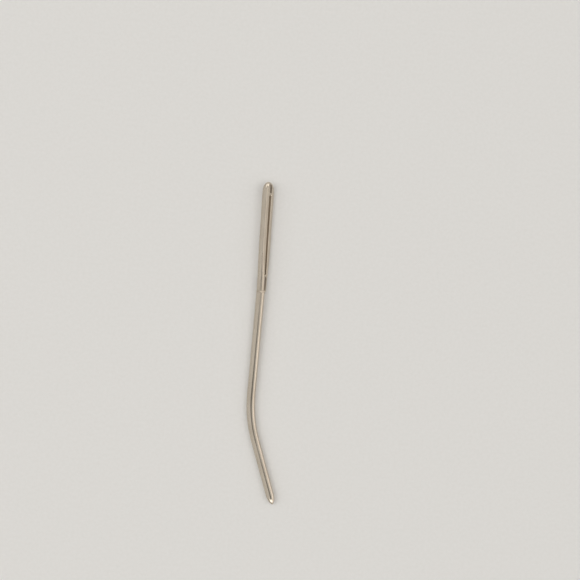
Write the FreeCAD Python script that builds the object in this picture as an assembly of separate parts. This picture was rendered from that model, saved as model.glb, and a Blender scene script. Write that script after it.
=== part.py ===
import FreeCAD, Part
import math
import os

from FreeCAD import Placement, Rotation, Vector

# A bent tip yarn needle, lying flat as it comes to rest: one length of round steel wire.
# The head is pressed flat, punched with a long eye and grooved above and below it.
# The shaft is straight, and the tip leg bends away from it to a blunt rounded point.
# Sizes are in millimetres and degrees. +Z is up, and +Y runs from the point to the head.

# Wire and bend, along the axis of the wire
shaft_diameter = 2.1
head_end_to_corner = 58.8
corner_to_tip = 22.35
bend_angle = 20.3
bend_radius = 32.5

# Tip leg and its blunt point
leg_end_diameter = 2.0
point_length = 2.3
point_ball_radius = 0.35

# Pressed head: its flat section, its rounded end and the neck that comes down towards the wire.
# The neck ends at the press die's edge, where a small step falls to the wire. The die closed a
# little off the wire's middle, so the step shows on the side that the tip bends to.
head_width = 3.5
head_thickness = 1.55
head_corner_radius = 0.28
face_crown_angle = 6.0
side_crown_angle = 20.0
end_round_length = 3.0
end_thinning_length = 1.5
neck_length = 11.1
neck_softness = 0.5
die_edge_share = 0.34
die_edge_length = 0.7
die_offset = 0.12
head_set_angle = 1.5
eye_turn_from_top = 60.0

# Eye: a long slot right through the head, wider at its upper end
eye_from_end = 3.15
eye_length = 20.05
eye_down_neck = 6.7
eye_upper_width = 0.95
eye_lower_width = 0.62
eye_edge_radius = 0.15

# Gutters: round-bottomed grooves that lead the yarn over the head, with a lip before the eye
gutter_width = 0.7
gutter_lip = 0.3
gutter_depth = 0.32
gutter_end_depth = 0.24
upper_gutter_length = 1.9
lower_gutter_length = 3.45

# How many sections shape the head: round its end, along its faces, down its neck and its step
end_sections = 6
face_sections = 3
neck_sections = 8
step_sections = 4


def turned(vector, angle):
    """The vector turned about +Z, anticlockwise from above."""
    return Rotation(Vector(0, 0, 1), angle).multVec(vector)


def neck_top():
    """Where the flat head ends and the neck begins, from the head's end."""
    return eye_from_end + eye_length - eye_down_neck


def neck_root():
    """Where the neck has come down to the round wire, from the head's end."""
    return neck_top() + neck_length


def fall(share, softness):
    """A fall from 1 to 0 over a share of 0 to 1, straight at softness 0 and level-ended at 1."""
    down = min(1.0, max(0.0, share))
    full_turn = 2 * math.pi
    return 1.0 - down + softness * math.sin(full_turn * down) / full_turn


def above_step(from_end):
    """1 on the pressed head and its neck, falling to 0 through the step at the die's edge."""
    step_top = neck_root() - die_edge_length
    return fall((from_end - step_top) / die_edge_length, 1.0)


def head_axis(from_end):
    """The centre of the head at this distance from its end, and how far its axis leans towards -X."""
    root = neck_root()
    above_root = root - from_end
    curved = min(above_root, neck_length)
    lean = head_set_angle * curved / neck_length
    radius = neck_length / math.radians(head_set_angle)
    centre = Vector(-radius, head_end_to_corner - root, 0) + turned(Vector(radius, 0, 0), lean)
    set_over = turned(Vector(die_offset * above_step(from_end), 0, 0), lean)
    return centre + turned(Vector(0, above_root - curved, 0), lean) + set_over, lean


def head_frame(from_end):
    """A place on the head's axis: X across the flat face, Y out of that face, Z towards the end."""
    centre, lean = head_axis(from_end)
    slope = math.radians(eye_turn_from_top)
    face = turned(Vector(math.sin(slope), 0, math.cos(slope)), lean)
    along = turned(Vector(0, 1, 0), lean)
    return Placement(centre, Rotation(face.cross(along), face, along, "ZXY"))


def pressed_share(from_end):
    """How far the wire is pressed flat here: 1 on the head, less down the neck, 0 past the step."""
    neck = neck_length - die_edge_length
    down_neck = fall((from_end - neck_top()) / neck, neck_softness)
    return (die_edge_share + (1 - die_edge_share) * down_neck) * above_step(from_end)


def domed(from_end, length):
    """The share of its full size that the head has where its end rounds off over this length."""
    left = max(0.0, 1.0 - from_end / length)
    return math.sqrt(1.0 - left * left)


def pressed(flat_size, from_end):
    """A half size of the section, on its way from the round wire to the flat head."""
    wire = shaft_diameter / 2
    return wire + (flat_size - wire) * pressed_share(from_end)


def half_thickness(from_end):
    """Half the head's thickness along the eye."""
    return pressed(head_thickness / 2, from_end) * domed(from_end, end_thinning_length)


def head_arcs(from_end):
    """The eight arcs of the head's section: crowned faces and sides, joined by round corners.

    Each is its centre across and out of the face, its radius, its middle's turn and its sweep. They
    all meet smoothly, and down the neck they all come to the wire's own radius.
    """
    half_wide = pressed(head_width / 2, from_end) * domed(from_end, end_round_length)
    half_thick = half_thickness(from_end)
    corner = pressed(head_corner_radius, from_end) * domed(from_end, end_thinning_length)
    face = math.radians(face_crown_angle)
    side = math.radians(side_crown_angle)
    wide = half_wide - corner
    thick = half_thick - corner
    spread = math.sin(face) * math.sin(side) - (1 - math.cos(face)) * (1 - math.cos(side))
    face_reach = (wide * math.sin(side) - thick * (1 - math.cos(side))) / spread
    side_reach = (thick * math.sin(face) - wide * (1 - math.cos(face))) / spread
    corner_x = face_reach * math.sin(face)
    corner_y = side_reach * math.sin(side)
    corner_turn = (math.pi / 2 + side - face) / 2
    corner_sweep = math.pi / 2 - side - face
    arcs = []
    for way, turn in ((1, 0.0), (-1, math.pi)):
        side_x = way * (wide - side_reach)
        face_y = way * (thick - face_reach)
        first_corner = turn + corner_turn
        last_corner = turn + math.pi - corner_turn
        arcs.append((side_x, 0, corner + side_reach, turn, 2 * side))
        arcs.append((way * corner_x, way * corner_y, corner, first_corner, corner_sweep))
        arcs.append((0, face_y, corner + face_reach, turn + math.pi / 2, 2 * face))
        arcs.append((-way * corner_x, way * corner_y, corner, last_corner, corner_sweep))
    return arcs


def on_arc(arc, share, stretch=1.0):
    """A point of a section's arc: share -1 and 1 are its ends. Stretch takes it out from the centre."""
    x, y, radius, middle, sweep = arc
    turn = middle + share * sweep / 2
    reach = radius * stretch
    return Vector(x + reach * math.cos(turn), y + reach * math.sin(turn), 0)


def head_section(from_end):
    """The closed outline of the head's section."""
    frame = head_frame(from_end)
    edges = []
    for arc in head_arcs(from_end):
        start, middle, finish = [frame.multVec(on_arc(arc, share)) for share in (-1, 0, 1)]
        edges.append(Part.Arc(start, middle, finish).toShape())
    return Part.Wire(edges)


def head_stations():
    """Where the head's sections stand from its end, and how far they are along its surface."""
    stations = []
    travel = []
    for i in range(1, end_sections + 1):
        turn = math.pi / 2 * i / end_sections
        stations.append(end_round_length * (1 - math.cos(turn)))
        travel.append(end_round_length * turn)
    face = neck_top() - end_round_length
    neck = neck_length - die_edge_length
    straight = [face * i / face_sections for i in range(1, face_sections + 1)]
    straight += [face + neck * i / neck_sections for i in range(1, neck_sections + 1)]
    straight += [face + neck + die_edge_length * i / step_sections for i in range(1, step_sections + 1)]
    stations += [end_round_length + down for down in straight]
    travel += [end_round_length * math.pi / 2 + down for down in straight]
    return stations, travel


def head_strip(arcs, frames, travel):
    """The strip of the head's surface that one arc of the section sweeps, from the end to the wire."""
    end = head_axis(0)[0]
    weight = math.cos(arcs[0][-1] / 2)
    columns = []
    for share, stretch in ((-1, 1.0), (0, 1 / weight), (1, 1.0)):
        spots = [frame.multVec(on_arc(arc, share, stretch)) for arc, frame in zip(arcs, frames)]
        line = Part.BSplineCurve()
        line.interpolate(Points=[end] + spots, Parameters=[0] + travel)
        columns.append(line)
    poles = [line.getPoles() for line in columns]
    weights = [[share] * len(poles[0]) for share in (1, weight, 1)]
    repeats = columns[0].getMultiplicities()
    knots = columns[0].getKnots()
    strip = Part.BSplineSurface()
    strip.buildFromPolesMultsKnots(poles, [3, 3], repeats, [0, 1], knots, False, False, 2, 3, weights)
    return strip.toShape()


def head_blank():
    """The pressed head before it is punched, from its rounded end down to the round wire."""
    stations, travel = head_stations()
    frames = [head_frame(station) for station in stations]
    sections = [head_arcs(station) for station in stations]
    faces = [head_strip(arcs, frames, travel) for arcs in zip(*sections)]
    faces.append(Part.Face(head_section(neck_root())))
    shell = Part.makeShell(faces)
    shell.sewShape()
    return Part.makeSolid(shell)


def eye_outline():
    """The eye seen from its face: two straight sides that draw together, and a round at each end."""
    upper = eye_upper_width / 2
    lower = eye_lower_width / 2
    upper_centre = eye_from_end + upper
    lower_centre = eye_from_end + eye_length - lower
    slope = math.asin((upper - lower) / (lower_centre - upper_centre))
    corners = []
    for centre, radius in ((upper_centre, upper), (lower_centre, lower)):
        side = radius * math.cos(slope)
        down = centre + radius * math.sin(slope)
        corners.append((side, down))
    (wide, top), (narrow, bottom) = corners
    crown = Vector(0, 0, -eye_from_end)
    foot = Vector(0, 0, -(eye_from_end + eye_length))
    right_top = Vector(wide, 0, -top)
    left_top = Vector(-wide, 0, -top)
    right_bottom = Vector(narrow, 0, -bottom)
    left_bottom = Vector(-narrow, 0, -bottom)
    edges = [
        Part.Arc(left_top, crown, right_top).toShape(),
        Part.LineSegment(right_top, right_bottom).toShape(),
        Part.Arc(right_bottom, foot, left_bottom).toShape(),
        Part.LineSegment(left_bottom, left_top).toShape(),
    ]
    return Part.Wire(edges)


def eye_punch():
    """The slug that the eye's punch takes out, through the whole head."""
    through = 2 * shaft_diameter
    slug = Part.Face(eye_outline()).extrude(Vector(0, 2 * through, 0))
    slug.translate(Vector(0, -through, 0))
    return slug


def gutter(near_from_end, far_from_end):
    """A round-ended rod laid slanting in both faces: deepest by the eye, shallower at its far end."""
    radius = gutter_width / 2
    near_height = half_thickness(near_from_end) - gutter_depth + radius
    far_height = half_thickness(far_from_end) - gutter_end_depth + radius
    cuts = []
    for face in (1, -1):
        near = Vector(0, face * near_height, -near_from_end)
        far = Vector(0, face * far_height, -far_from_end)
        run = far - near
        rod = Part.makeCylinder(radius, run.Length, near, run)
        cuts += [rod, Part.makeSphere(radius, near), Part.makeSphere(radius, far)]
    return cuts


def on_eye_rim(edge, frame):
    """Whether an edge runs round the mouth of the eye, on either face."""
    spot = frame.inverse().multVec(edge.CenterOfMass)
    beside = abs(spot.x) <= eye_upper_width / 2
    along = eye_from_end <= -spot.z <= eye_from_end + eye_length
    return beside and along and abs(spot.y) > head_thickness / 4


def head():
    """The finished head: blank, eye, gutters and the eye's polished rims."""
    upright = head_frame(0)
    slug = eye_punch()
    slug.Placement = upright.multiply(slug.Placement)
    punched = head_blank().cut(slug)
    rims = [e for e in punched.Edges if not e.Degenerated and on_eye_rim(e, upright)]
    softened = punched.makeFillet(eye_edge_radius, rims)
    crown = eye_from_end - gutter_lip
    foot = eye_from_end + eye_length + gutter_lip
    grooves = gutter(crown - gutter_width / 2, crown - upper_gutter_length)
    grooves += gutter(foot + gutter_width / 2, foot + lower_gutter_length)
    for groove in grooves:
        groove.Placement = upright.multiply(groove.Placement)
    return softened.cut(grooves)


def bend_reach():
    """How far the bend's arc reaches from the corner, along the shaft and along the leg."""
    return bend_radius * math.tan(math.radians(bend_angle / 2))


def leg_direction():
    """The way the tip leg points: down -Y, bent over towards +X."""
    return turned(Vector(0, -1, 0), bend_angle)


def shaft():
    """The straight round wire between the neck and the bend."""
    length = head_end_to_corner - neck_root() - bend_reach()
    return Part.makeCylinder(shaft_diameter / 2, length, Vector(0, bend_reach(), 0), Vector(0, 1, 0))


def bend():
    """The wire's bend: its round section turned about the centre of the bend."""
    start = Vector(0, bend_reach(), 0)
    section = Part.Circle(start, Vector(0, 1, 0), shaft_diameter / 2).toShape()
    centre = start + Vector(bend_radius, 0, 0)
    return Part.Face(Part.Wire(section)).revolve(centre, Vector(0, 0, 1), bend_angle)


def leg():
    """The tip leg, turned about its own axis: a slight taper, a curved point and a ball end."""
    radius = leg_end_diameter / 2
    ball = point_ball_radius
    shoulder = corner_to_tip - point_length
    ball_centre = corner_to_tip - ball
    curve = ((point_length - ball) ** 2 + radius**2 - ball**2) / (2 * (radius - ball))
    end_turn = math.asin((point_length - ball) / (curve - ball))

    def on_curve(turn):
        return shoulder + curve * math.sin(turn), radius - curve * (1 - math.cos(turn))

    def on_ball(turn):
        return ball_centre + ball * math.sin(turn), ball * math.cos(turn)

    along = leg_direction()
    side = Vector(0, 0, 1)

    def spot(down, out):
        return along * down + side * out

    root = spot(bend_reach(), 0)
    root_edge = spot(bend_reach(), shaft_diameter / 2)
    shoulder_edge = spot(shoulder, radius)
    meet = spot(*on_curve(end_turn))
    tip = spot(corner_to_tip, 0)
    outline = [
        Part.LineSegment(root, root_edge).toShape(),
        Part.LineSegment(root_edge, shoulder_edge).toShape(),
        Part.Arc(shoulder_edge, spot(*on_curve(end_turn / 2)), meet).toShape(),
        Part.Arc(meet, spot(*on_ball((end_turn + math.pi / 2) / 2)), tip).toShape(),
        Part.LineSegment(tip, root).toShape(),
    ]
    return Part.Face(Part.Wire(outline)).revolve(root, along, 360)


def lowest_point(wire):
    """The point of a section that would touch a level table first."""
    box = wire.BoundBox
    reach = box.DiagonalLength
    corner = Vector(box.XMin - reach, box.YMin - reach, box.ZMin - reach)
    table = Part.makePlane(3 * reach, 3 * reach, corner)
    return wire.distToShape(table)[1][0][0]


def elbow_turn(head_touch, balance):
    """How far round the bend the needle touches the table.

    The needle rocks until its centre of mass is over the line from the head's low point to the elbow.
    """
    bend_centre = Vector(bend_radius, bend_reach(), 0)
    way = Vector(balance.x - head_touch.x, balance.y - head_touch.y, 0).normalize()
    back = Vector(head_touch.x, head_touch.y, 0) - bend_centre
    along = back.dot(way)
    travel = math.sqrt(along**2 - back.dot(back) + bend_radius**2) - along
    touch = back + way * travel
    return math.degrees(math.atan2(-touch.y, -touch.x))


def seated(loose):
    """The needle laid down as it rests: on the low side of its head and on its elbow."""
    head_touch = lowest_point(head_section(neck_top()))
    turn = elbow_turn(head_touch, loose.CenterOfMass)
    bend_centre = Vector(bend_radius, bend_reach(), 0)
    elbow_touch = bend_centre + turned(Vector(-bend_radius, 0, -shaft_diameter / 2), turn)
    up = turned(Vector(0, -1, 0), turn).cross(head_touch - elbow_touch)
    level = loose.copy()
    level.Placement = Placement(Vector(), Rotation(up, Vector(0, 0, 1))).multiply(loose.Placement)
    box = level.optimalBoundingBox(False)
    level.translate(Vector(-box.Center.x, -box.Center.y, -box.ZMin))
    return level


def needle():
    """The whole needle as one solid, at rest, with the bottom centre of its box at the origin."""
    return seated(head().fuse([shaft(), bend(), leg()]).Solids[0])


os.makedirs("parts", exist_ok=True)
needle().exportStep("parts/needle.step")
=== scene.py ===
"""The looks of a bent tip yarn needle: nickel plate over steel wire, lit as on a studio table."""

import logging
import math
from dataclasses import dataclass
from enum import Enum

import bpy
from mathutils import Euler, Matrix, Vector

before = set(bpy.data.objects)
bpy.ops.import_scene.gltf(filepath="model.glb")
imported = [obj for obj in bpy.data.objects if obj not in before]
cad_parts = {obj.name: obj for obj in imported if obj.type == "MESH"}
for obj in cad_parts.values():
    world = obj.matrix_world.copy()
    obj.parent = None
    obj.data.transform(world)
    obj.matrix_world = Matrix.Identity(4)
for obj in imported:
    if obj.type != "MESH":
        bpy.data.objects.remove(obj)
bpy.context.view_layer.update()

LOG = logging.getLogger("needle")
NODE_NAME = "needle"
# A millimetre in metres.
MM = 0.001
# The picture's width and height in pixels.
IMAGE_SIDE = 580
# More than the head's width and thickness, in metres, for a zone that has no limit there.
WIDE = 5.0 * MM
# How much faster a zone ends out of the head's face than across or along it.
OUTWARD_STRETCH = 4.0
# The range that a noise pattern's middle values fill.
CLOUD_MIDDLE = {"From Min": 0.3, "From Max": 0.7}
# The second vector of a vector node that needs none, or that compares with nought.
ZERO = (0.0, 0.0, 0.0)
# A Mix node's inputs by number, because several of them share a name.
SHARE, VALUE_A, VALUE_B, COLOUR_A, COLOUR_B = 0, 2, 3, 6, 7

# What a node's input can be given.
Setting = float | tuple[float, ...] | bpy.types.NodeSocket | bpy.types.Node


class Reach(Enum):
    """What a lamp is for: it lights the table, or the polished wire mirrors it."""

    TABLE = "table"
    WIRE = "wire"


def linear(hex_colour: str) -> tuple[float, float, float, float]:
    """Turns an sRGB colour into the renderer's linear one, by the standard's own curve.

    Args:
        hex_colour: Six hex digits after a hash sign.

    Returns:
        Linear red, green and blue, and a full alpha.
    """
    channels = [int(hex_colour[i : i + 2], 16) / 255 for i in (1, 3, 5)]
    straight = [c / 12.92 if c <= 0.04045 else ((c + 0.055) / 1.055) ** 2.4 for c in channels]
    return (straight[0], straight[1], straight[2], 1.0)


def add_node(
    tree: bpy.types.NodeTree,
    kind: str,
    inputs: dict[str | int, Setting] | None = None,
    **settings: object,
) -> bpy.types.Node:
    """Adds one node with its settings, its numbers and its links.

    Args:
        tree: The material's or the world's nodes.
        kind: The node's type name.
        inputs: What each input gets, by its name, or by its number where names repeat: a number,
            a colour, another node's output, or another node, which gives its first output in use.
        **settings: The node's own properties.

    Returns:
        The new node.
    """
    node = tree.nodes.new(kind)
    for name, value in settings.items():
        setattr(node, name, value)
    for name, value in (inputs or {}).items():
        if isinstance(value, bpy.types.Node):
            value = next(output for output in value.outputs if output.enabled)
        if isinstance(value, bpy.types.NodeSocket):
            tree.links.new(value, node.inputs[name])
        else:
            node.inputs[name].default_value = value
    return node


@dataclass(frozen=True)
class WirePath:
    """The line of the wire in the row frame: a straight shaft, a round bend and a straight leg.

    Lengths are in metres and angles in degrees. The corner is where the straight lines would
    cross. The turn is that of the bend's own axes: X towards its centre, Y along the shaft.
    """

    corner: tuple[float, float, float] = (-3.1641 * MM, -18.9031 * MM, 1.0385 * MM)
    turn: tuple[float, float, float] = (0.8752, -2.7369, -0.0209)
    bend_radius: float = 32.5 * MM
    bend_angle: float = 20.3

    @property
    def bend_centre(self) -> tuple[float, float, float]:
        """Where the bend turns about, seen from the corner."""
        reach = self.bend_radius * math.tan(math.radians(self.bend_angle / 2))
        return (self.bend_radius, reach, 0.0)

    def straightened(self, tree: bpy.types.NodeTree) -> bpy.types.Node:
        """Gives each point its place on the wire as if the bend were straightened.

        Args:
            tree: The material's nodes.

        Returns:
            A vector: out from the wire's line, along it towards the tip, and up.
        """
        turns = tuple(math.radians(angle) for angle in self.turn)
        place = add_node(tree, "ShaderNodeTexCoord").outputs["Object"]
        level = add_node(
            tree,
            "ShaderNodeMapping",
            {"Vector": place, "Location": self.corner, "Rotation": turns},
            vector_type="TEXTURE",
        )
        spoke = add_node(
            tree, "ShaderNodeVectorMath", {0: self.bend_centre, 1: level}, operation="SUBTRACT"
        )
        parts = add_node(tree, "ShaderNodeSeparateXYZ", {"Vector": spoke}).outputs
        bearing = add_node(
            tree, "ShaderNodeMath", {0: parts["Y"], 1: parts["X"]}, operation="ARCTAN2"
        )
        limits = {"Value": bearing, "Min": 0.0, "Max": math.radians(self.bend_angle)}
        angle = add_node(tree, "ShaderNodeClamp", limits)
        turned = add_node(
            tree,
            "ShaderNodeVectorRotate",
            {"Vector": spoke, "Angle": angle},
            rotation_type="Z_AXIS",
            invert=True,
        )
        round_bend = add_node(
            tree, "ShaderNodeMath", {0: angle, 1: self.bend_radius}, operation="MULTIPLY"
        )
        shift = add_node(tree, "ShaderNodeCombineXYZ", {"X": -self.bend_radius, "Y": round_bend})
        return add_node(tree, "ShaderNodeVectorMath", {0: turned, 1: shift}, operation="ADD")


@dataclass(frozen=True)
class Zone:
    """A part of the head with a finish of its own: all that lies near enough to a small box.

    The box is set on the head's own axes: X across the face, Y along the head and Z out of the
    face. The finish is whole up to one distance from the box and gone from another on. Lengths
    are in metres.
    """

    middle: float
    half_sizes: tuple[float, float, float]
    full_to: float
    none_from: float

    def mask(self, tree: bpy.types.NodeTree, place: bpy.types.Node) -> bpy.types.Node:
        """Says how far a point is inside the zone.

        Args:
            tree: The material's nodes.
            place: The point's place on the head.

        Returns:
            1 in the zone, 0 outside it, soft at its edge.
        """
        steps = (
            ("SUBTRACT", (0.0, self.middle, 0.0)),
            ("ABSOLUTE", ZERO),
            ("SUBTRACT", self.half_sizes),
            ("MAXIMUM", ZERO),
            ("MULTIPLY", (1.0, 1.0, OUTWARD_STRETCH)),
            ("LENGTH", ZERO),
        )
        for operation, by in steps:
            place = add_node(tree, "ShaderNodeVectorMath", {0: place, 1: by}, operation=operation)
        limits = {"Value": place, "From Min": self.none_from, "From Max": self.full_to}
        return add_node(tree, "ShaderNodeMapRange", limits)


@dataclass(frozen=True)
class PressedHead:
    """The pressed head and its zones. Lengths are in metres.

    The centre is the middle of the eye, and the two directions point out of the head's face and
    along the head to its end.

    The matt of the press stops short of the rounded end, which is polished. The eye's walls reach
    no further out than its rounded rims. The gutters are as deep as they like, so their zones
    have no limit out of the face.
    """

    centre: tuple[float, float, float] = (-3.293 * MM, 26.717 * MM, 1.729 * MM)
    out: tuple[float, float, float] = (0.84086, 0.01472, 0.54106)
    along: tuple[float, float, float] = (-0.02651, 0.99955, 0.01400)
    pressed: Zone = Zone(-1.29 * MM, (WIDE, 12.79 * MM, WIDE), 0.0, 0.36 * MM)
    die_edge: Zone = Zone(-14.08 * MM, (WIDE, 0.0, WIDE), 0.18 * MM, 0.36 * MM)
    eye: Zone = Zone(0.0, (0.0, 9.55 * MM, 0.48 * MM), 0.485 * MM, 0.505 * MM)
    upper_gutter: Zone = Zone(11.45 * MM, (0.0, 0.775 * MM, WIDE), 0.36 * MM, 0.38 * MM)
    lower_gutter: Zone = Zone(-12.225 * MM, (0.0, 1.55 * MM, WIDE), 0.36 * MM, 0.38 * MM)

    def place(self, tree: bpy.types.NodeTree) -> bpy.types.Node:
        """Gives each point its place on the head's own axes, from the middle of the eye.

        Args:
            tree: The material's nodes.

        Returns:
            A vector: across the face, along the head to its end, and out of the face.
        """
        out = Vector(self.out).normalized()
        across = Vector(self.along).cross(out).normalized()
        turn = Matrix((across, out.cross(across), out)).transposed().to_euler("XYZ")
        place = add_node(tree, "ShaderNodeTexCoord").outputs["Object"]
        return add_node(
            tree,
            "ShaderNodeMapping",
            {"Vector": place, "Location": self.centre, "Rotation": tuple(turn)},
            vector_type="TEXTURE",
        )


@dataclass(frozen=True)
class NickelPlate:
    """Bright nickel plate over cold drawn steel wire, tumble polished.

    Nickel is a warm grey. The wire's drawing lines still show faintly along it under the plate, and
    tumbling leaves soft dull patches and fine pits. The head's faces have the finer matt of the
    press, and its end is bright. The tumbling media never reach into the eye, the gutters and the
    corner under the die's edge, which stay rough. The gutters and that corner are also painted
    darker: painted shade in these recesses, which on the die's step also dims the lamps' glint.
    Real drawing lines are about 0.02 mm apart. They are drawn coarser, so that they show.
    """

    bright: str = "#D3C9BA"
    dull: str = "#C0B5A5"
    punched: str = "#CDC1B0"
    # Painted shade: the gutters are coloured darker for the shade that falls in them.
    painted_gutter_shade: str = "#81766A"
    # Painted shade: the corner under the die's edge is coloured darker to dim the lamps' glint on
    # the step.
    painted_die_edge_shade: str = "#C0B5A6"
    metallic: float = 1.0
    roughness: float = 0.105
    line_roughness: float = 0.13
    pressed_roughness: float = 0.13
    punched_roughness: float = 0.38
    bruised_roughness: float = 0.5
    draw_line_spacing: float = 0.14 * MM
    draw_line_length: float = 14.0 * MM
    draw_line_depth: float = 0.0012 * MM
    draw_line_tone: float = 0.35
    draw_line_detail: float = 2.0
    patch_width: float = 2.5 * MM
    patch_length: float = 5.0 * MM
    patch_detail: float = 3.0
    pit_size: float = 0.3 * MM
    pit_depth: float = 0.0007 * MM
    pit_detail: float = 1.0

    def patterns(self, tree: bpy.types.NodeTree, path: WirePath) -> dict[str, bpy.types.Node]:
        """Lays the cloudy patterns on the straightened wire.

        Args:
            tree: The material's nodes.
            path: The line of the wire, which the drawing lines follow.

        Returns:
            Grey values from 0 to 1 for the lines, the patches and the pits.
        """
        wire = path.straightened(tree)
        sizes = {
            "lines": (self.draw_line_spacing, self.draw_line_length, self.draw_line_detail),
            "patches": (self.patch_width, self.patch_length, self.patch_detail),
            "pits": (self.pit_size, self.pit_size, self.pit_detail),
        }
        found = {}
        for name, (across, along, detail) in sizes.items():
            scale = (1 / across, 1 / along, 1 / across)
            sized = add_node(tree, "ShaderNodeMapping", {"Vector": wire, "Scale": scale})
            found[name] = add_node(
                tree, "ShaderNodeTexNoise", {"Vector": sized, "Scale": 1.0, "Detail": detail}
            )
        return found

    def material(self, path: WirePath, head: PressedHead) -> bpy.types.Material:
        """Makes the plate's material.

        Args:
            path: The line of the wire.
            head: The head, whose zones are duller.

        Returns:
            The material for the whole needle.
        """
        made = bpy.data.materials.new("nickel_plate_on_drawn_steel")
        made.use_nodes = True
        tree = made.node_tree
        tree.nodes.clear()
        found = self.patterns(tree, path)
        place = head.place(tree)
        rubbed = add_node(
            tree,
            "ShaderNodeMix",
            {SHARE: self.draw_line_tone, VALUE_A: found["patches"], VALUE_B: found["lines"]},
        )
        tone = add_node(tree, "ShaderNodeMapRange", {"Value": rubbed, **CLOUD_MIDDLE})
        colour = add_node(
            tree,
            "ShaderNodeMix",
            {SHARE: tone, COLOUR_A: linear(self.bright), COLOUR_B: linear(self.dull)},
            data_type="RGBA",
        )
        line_end = self.roughness + self.line_roughness
        ends = {"To Min": self.roughness, "To Max": line_end}
        streaks = add_node(
            tree, "ShaderNodeMapRange", {"Value": found["lines"], **CLOUD_MIDDLE, **ends}
        )
        gloss = add_node(
            tree,
            "ShaderNodeMath",
            {0: head.pressed.mask(tree, place), 1: self.pressed_roughness, 2: streaks},
            operation="MULTIPLY_ADD",
        )
        # The gutters' and the die edge's colours below are painted shade.
        finishes = (
            (head.eye, self.punched, self.punched_roughness),
            (head.upper_gutter, self.painted_gutter_shade, self.punched_roughness),
            (head.lower_gutter, self.painted_gutter_shade, self.punched_roughness),
            (head.die_edge, self.painted_die_edge_shade, self.bruised_roughness),
        )
        for zone, shade, roughness in finishes:
            mask = zone.mask(tree, place)
            colour = add_node(
                tree,
                "ShaderNodeMix",
                {SHARE: mask, COLOUR_A: colour, COLOUR_B: linear(shade)},
                data_type="RGBA",
            )
            gloss = add_node(
                tree, "ShaderNodeMix", {SHARE: mask, VALUE_A: gloss, VALUE_B: roughness}
            )
        drawn = add_node(
            tree, "ShaderNodeBump", {"Height": found["lines"], "Distance": self.draw_line_depth}
        )
        pitted = add_node(
            tree,
            "ShaderNodeBump",
            {"Height": found["pits"], "Distance": self.pit_depth, "Normal": drawn},
        )
        shader = add_node(
            tree,
            "ShaderNodeBsdfPrincipled",
            {
                "Base Color": colour,
                "Metallic": self.metallic,
                "Roughness": gloss,
                "Normal": pitted,
            },
        )
        add_node(tree, "ShaderNodeOutputMaterial", {"Surface": shader})
        return made


@dataclass(frozen=True)
class PaperSweep:
    """Matt paper of the studio table, pale and even, with a faint fibre grain.

    Paper fibres are finer than 0.1 mm. They are drawn coarser, so that they show.
    """

    pale: str = "#F0EFED"
    fibre: str = "#E9E8E5"
    roughness: float = 0.95
    specular: float = 0.2
    grain: float = 0.8 * MM
    grain_detail: float = 3.0

    def material(self) -> bpy.types.Material:
        """Makes the paper's material.

        Returns:
            The material for the whole floor.
        """
        made = bpy.data.materials.new("matt_studio_paper")
        made.use_nodes = True
        tree = made.node_tree
        tree.nodes.clear()
        place = add_node(tree, "ShaderNodeTexCoord").outputs["Object"]
        cloud = add_node(
            tree,
            "ShaderNodeTexNoise",
            {"Vector": place, "Scale": 1 / self.grain, "Detail": self.grain_detail},
        )
        colour = add_node(
            tree,
            "ShaderNodeMix",
            {SHARE: cloud, COLOUR_A: linear(self.pale), COLOUR_B: linear(self.fibre)},
            data_type="RGBA",
        )
        shader = add_node(
            tree,
            "ShaderNodeBsdfPrincipled",
            {
                "Base Color": colour,
                "Roughness": self.roughness,
                "Specular IOR Level": self.specular,
            },
        )
        add_node(tree, "ShaderNodeOutputMaterial", {"Surface": shader})
        return made


@dataclass
class Needle:
    """The needle: one length of wire, whose solid is already in the frame."""

    path: WirePath = WirePath()
    head: PressedHead = PressedHead()
    finish: NickelPlate = NickelPlate()

    def dress(self) -> bpy.types.Object:
        """Gives the frame's solid its finish.

        Returns:
            The needle's object.
        """
        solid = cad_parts[NODE_NAME]
        plate = self.finish.material(self.path, self.head)
        for held in solid.material_slots:
            held.material = plate
        return solid


@dataclass
class Softbox:
    """A studio lamp with a flat white face, turned to a point on the table.

    Its bearing is anticlockwise from +X. Angles are in degrees and lengths in metres.
    """

    name: str
    bearing: float
    from_upright: float
    distance: float
    width: float
    length: float
    radiance: float
    reach: Reach
    colour: str = "#FFFDFA"
    target: tuple[float, float] = (0.0, 0.0)

    def light(self) -> bpy.types.Object:
        """Hangs the lamp and turns it to its target.

        A flat face gives out pi times its radiance in watts for each square metre.

        Returns:
            The lamp.
        """
        turn = Euler((0.0, math.radians(self.from_upright), math.radians(self.bearing)))
        away = turn.to_matrix() @ Vector((0.0, 0.0, self.distance))
        place = Vector((*self.target, 0.0)) + away
        bpy.ops.object.light_add(type="AREA", location=place, rotation=turn)
        lamp = bpy.context.object
        lamp.name = self.name
        lamp.data.shape = "RECTANGLE"
        lamp.data.size = self.width
        lamp.data.size_y = self.length
        lamp.data.energy = self.radiance * math.pi * self.width * self.length
        lamp.data.color = linear(self.colour)[:3]
        lamp.visible_glossy = self.reach is Reach.WIRE
        lamp.visible_diffuse = self.reach is Reach.TABLE
        return lamp


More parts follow.
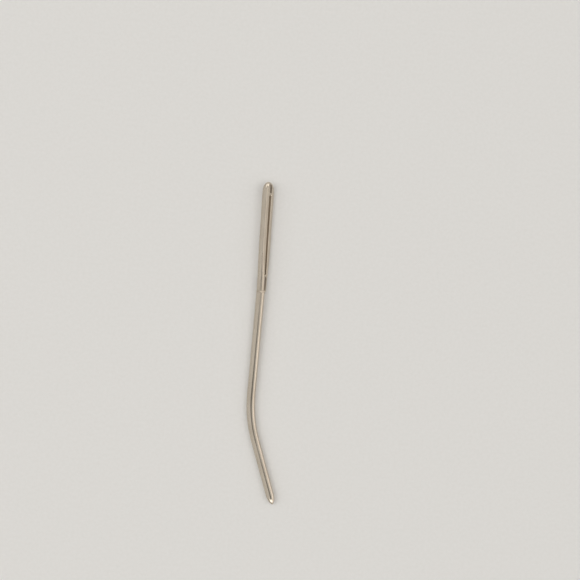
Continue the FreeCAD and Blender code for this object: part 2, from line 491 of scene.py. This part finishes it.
@dataclass
class Studio:
    """The table, the lamps and the camera over the needle.

    Lengths are in metres, apart from the lens in millimetres, and the roll is in degrees.
    """

    floor_radius: float = 3.0
    floor_sides: int = 96
    room_level: float = 0.23
    room_colour: str = "#FFFDFA"
    pixels_per_mm: float = 4.006
    picture_centre: tuple[float, float] = (4.048 * MM, 13.663 * MM)
    roll: float = 5.28
    lens: float = 85.0

    def floor(self) -> bpy.types.Object:
        """Lays the paper under the needle.

        Returns:
            The floor's object.
        """
        bpy.ops.object.select_all(action="DESELECT")
        bpy.ops.mesh.primitive_circle_add(
            vertices=self.floor_sides, radius=self.floor_radius, fill_type="NGON"
        )
        paper = bpy.context.object
        paper.name = "studio_floor"
        paper.data.materials.append(PaperSweep().material())
        return paper

    def lamps(self) -> list[bpy.types.Object]:
        """Hangs the table's lamps and the white cards that the wire mirrors.

        The gap between the side cards shows as a dark line along the wire. The top card closes it
        above the flat head, the low right card draws the bright stripe down the wire's right, and
        the cards beyond the ends give each of them its highlight.

        Returns:
            The lamps and the cards.
        """
        table, wire = Reach.TABLE, Reach.WIRE
        # Name, bearing, angle from upright, distance, width, length, radiance and reach.
        boxes = [
            Softbox("left_lamp", 180.0, 45.0, 1.6, 1.3, 1.3, 1.3, table),
            Softbox("right_lamp", 0.0, 45.0, 1.6, 1.3, 1.3, 0.7, table),
            Softbox("overhead_fill", 0.0, 0.0, 3.0, 5.0, 5.0, 0.75, table),
            Softbox("left_card", 180.0, 49.0, 0.6, 0.9, 1.4, 0.51, wire),
            Softbox("right_card", 0.0, 48.0, 0.6, 0.32, 1.4, 0.62, wire),
            Softbox("low_right_card", 0.0, 76.0, 0.6, 0.26, 1.4, 1.2, wire, "#FFF5EF"),
            Softbox("top_card", 0.0, 0.0, 0.6, 0.517, 0.54, 0.47, wire, target=(0.131, 0.245)),
            Softbox("head_card", 86.0, 73.0, 0.6, 0.34, 1.2, 1.35, wire),
            Softbox("point_card", 280.0, 57.0, 0.6, 0.3, 0.7, 1.7, wire),
        ]
        return [box.light() for box in boxes]

    def room(self) -> bpy.types.World:
        """Fills the room with even white light.

        Returns:
            The world.
        """
        world = bpy.data.worlds.new("studio_room")
        bpy.context.scene.world = world
        world.use_nodes = True
        tree = world.node_tree
        tree.nodes.clear()
        back = add_node(
            tree,
            "ShaderNodeBackground",
            {"Color": linear(self.room_colour), "Strength": self.room_level},
        )
        add_node(tree, "ShaderNodeOutputWorld", {"Surface": back})
        return world

    def camera(self) -> bpy.types.Object:
        """Hangs the camera straight over the needle, turned as the picture is.

        Returns:
            The camera.
        """
        bpy.ops.object.camera_add()
        camera = bpy.context.object
        camera.name = "overhead_camera"
        camera.data.lens = self.lens
        # At this height the camera sees as much of the table as the picture shows.
        field = IMAGE_SIDE / self.pixels_per_mm * MM
        height = field * self.lens / camera.data.sensor_width
        camera.location = (*self.picture_centre, height)
        camera.rotation_euler = Euler((0.0, 0.0, math.radians(self.roll)))
        bpy.context.scene.camera = camera
        return camera

    def build(self) -> None:
        """Sets up floor, lamps, room and camera."""
        self.floor()
        self.lamps()
        self.room()
        self.camera()
        bpy.context.scene.view_settings.view_transform = "Standard"


def main() -> None:
    """Dresses the needle and sets up the studio, and reports each piece."""
    logging.basicConfig(level=logging.INFO, format="%(name)s: %(message)s")
    dressed = Needle().dress()
    LOG.info("%s: %d faces", dressed.name, len(dressed.data.polygons))
    Studio().build()
    LOG.info("studio ready")


if __name__ == "__main__":
    main()
